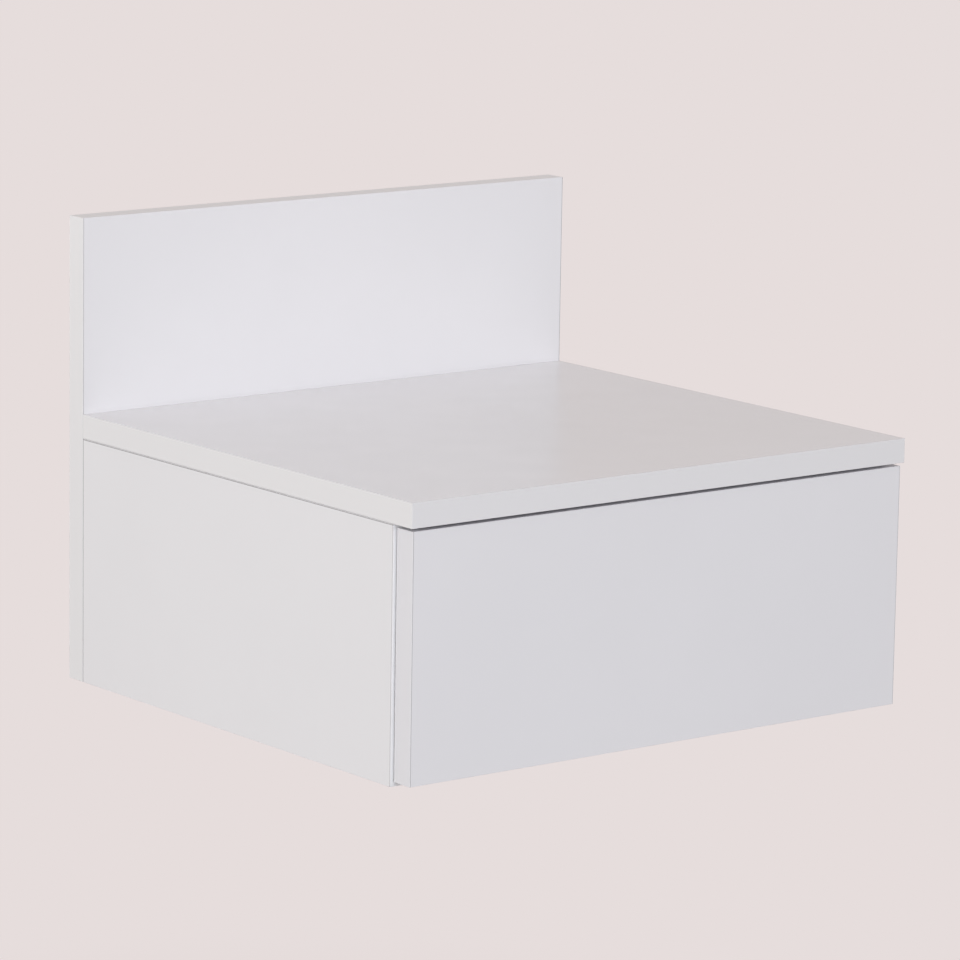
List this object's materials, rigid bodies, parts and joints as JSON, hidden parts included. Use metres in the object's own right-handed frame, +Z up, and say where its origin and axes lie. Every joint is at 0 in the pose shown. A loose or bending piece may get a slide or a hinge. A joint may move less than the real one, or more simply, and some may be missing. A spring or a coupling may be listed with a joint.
{
  "type": "floating nightstand",
  "caption": "Wall-hung bedside cabinet with a raised back panel, an overhanging top and one handleless push-to-open drawer on ball-bearing runners.",
  "frame": {"origin": "middle of the back panel's rear face, where it meets the wall", "axes": "+Y into the wall, +X to the right seen from the front, +Z up"},
  "size_m": [0.4, 0.376, 0.31],
  "materials": {
    "white_board": "satin white melamine",
    "white_hardboard": "smooth white painted hardboard",
    "runner_steel": "bright zinc plate",
    "cage_steel": "plain rolled strip with polished balls",
    "fastener_steel": "zinc plated",
    "cam_alloy": "cast zinc alloy",
    "latch_plastic": "moulded light grey"
  },
  "bodies": {
    "cabinet": {"back_left_lower_bolt": "fastener_steel", "back_left_lower_cam": "cam_alloy", "back_left_upper_bolt": "fastener_steel", "back_left_upper_cam": "cam_alloy", "back_right_lower_bolt": "fastener_steel", "back_right_lower_cam": "cam_alloy", "back_right_upper_bolt": "fastener_steel", "back_right_upper_cam": "cam_alloy", "backboard": "white_board", "bottom_left_front_bolt": "fastener_steel", "bottom_left_front_cam": "cam_alloy", "bottom_left_rear_bolt": "fastener_steel", "bottom_left_rear_cam": "cam_alloy", "bottom_panel": "white_board", "bottom_right_front_bolt": "fastener_steel", "bottom_right_front_cam": "cam_alloy", "bottom_right_rear_bolt": "fastener_steel", "bottom_right_rear_cam": "cam_alloy", "push_latch_housing": "latch_plastic", "push_latch_screw_left": "fastener_steel", "push_latch_screw_right": "fastener_steel", "runner_left_cabinet_member": "runner_steel", "runner_left_cabinet_screw_front": "fastener_steel", "runner_left_cabinet_screw_rear": "fastener_steel", "runner_right_cabinet_member": "runner_steel", "runner_right_cabinet_screw_front": "fastener_steel", "runner_right_cabinet_screw_rear": "fastener_steel", "side_panel_left": "white_board", "side_panel_right": "white_board", "top_left_front_bolt": "fastener_steel", "top_left_front_cam": "cam_alloy", "top_left_rear_bolt": "fastener_steel", "top_left_rear_cam": "cam_alloy", "top_panel": "white_board", "top_right_front_bolt": "fastener_steel", "top_right_front_cam": "cam_alloy", "top_right_rear_bolt": "fastener_steel", "top_right_rear_cam": "cam_alloy"},
    "drawer": {"drawer_back": "white_board", "drawer_bottom": "white_hardboard", "drawer_front": "white_board", "drawer_front_left_bolt": "fastener_steel", "drawer_front_left_cam": "cam_alloy", "drawer_front_right_bolt": "fastener_steel", "drawer_front_right_cam": "cam_alloy", "drawer_side_left": "white_board", "drawer_side_right": "white_board", "runner_left_drawer_member": "runner_steel", "runner_left_drawer_screw_front": "fastener_steel", "runner_left_drawer_screw_rear": "fastener_steel", "runner_right_drawer_member": "runner_steel", "runner_right_drawer_screw_front": "fastener_steel", "runner_right_drawer_screw_rear": "fastener_steel"},
    "latch_plunger": {"push_latch_plunger": "latch_plastic"},
    "runner_left_inner_cage": {"runner_left_inner_cage": "cage_steel"},
    "runner_left_middle": {"runner_left_middle_member": "runner_steel"},
    "runner_left_outer_cage": {"runner_left_outer_cage": "cage_steel"},
    "runner_right_inner_cage": {"runner_right_inner_cage": "cage_steel"},
    "runner_right_middle": {"runner_right_middle_member": "runner_steel"},
    "runner_right_outer_cage": {"runner_right_outer_cage": "cage_steel"}
  },
  "joints": [
    {"name": "drawer_slide", "type": "slide", "parent": "cabinet", "child": "drawer", "axis": [0, -1, 0], "range_m": [-0.001, 0.25]},
    {"name": "runner_left_middle_slide", "type": "slide", "parent": "cabinet", "child": "runner_left_middle", "axis": [0, -1, 0], "range_m": [-0.0005, 0.125]},
    {"name": "runner_left_outer_cage_slide", "type": "slide", "parent": "cabinet", "child": "runner_left_outer_cage", "axis": [0, -1, 0], "range_m": [-0.00025, 0.0625]},
    {"name": "runner_left_inner_cage_slide", "type": "slide", "parent": "cabinet", "child": "runner_left_inner_cage", "axis": [0, -1, 0], "range_m": [-0.00075, 0.1875]},
    {"name": "runner_right_middle_slide", "type": "slide", "parent": "cabinet", "child": "runner_right_middle", "axis": [0, -1, 0], "range_m": [-0.0005, 0.125]},
    {"name": "runner_right_outer_cage_slide", "type": "slide", "parent": "cabinet", "child": "runner_right_outer_cage", "axis": [0, -1, 0], "range_m": [-0.00025, 0.0625]},
    {"name": "runner_right_inner_cage_slide", "type": "slide", "parent": "cabinet", "child": "runner_right_inner_cage", "axis": [0, -1, 0], "range_m": [-0.00075, 0.1875]},
    {"name": "latch_plunger_slide", "type": "slide", "parent": "cabinet", "child": "latch_plunger", "axis": [0, -1, 0], "range_m": [-0.00015, 0.037]}
  ],
  "couplings": [
    {"joint": "runner_left_middle_slide", "follows": "drawer_slide", "ratio": 0.5},
    {"joint": "runner_left_outer_cage_slide", "follows": "drawer_slide", "ratio": 0.25},
    {"joint": "runner_left_inner_cage_slide", "follows": "drawer_slide", "ratio": 0.75},
    {"joint": "runner_right_middle_slide", "follows": "drawer_slide", "ratio": 0.5},
    {"joint": "runner_right_outer_cage_slide", "follows": "drawer_slide", "ratio": 0.25},
    {"joint": "runner_right_inner_cage_slide", "follows": "drawer_slide", "ratio": 0.75},
    {"joint": "latch_plunger_slide", "follows": "drawer_slide", "ratio": 0.148}
  ]
}
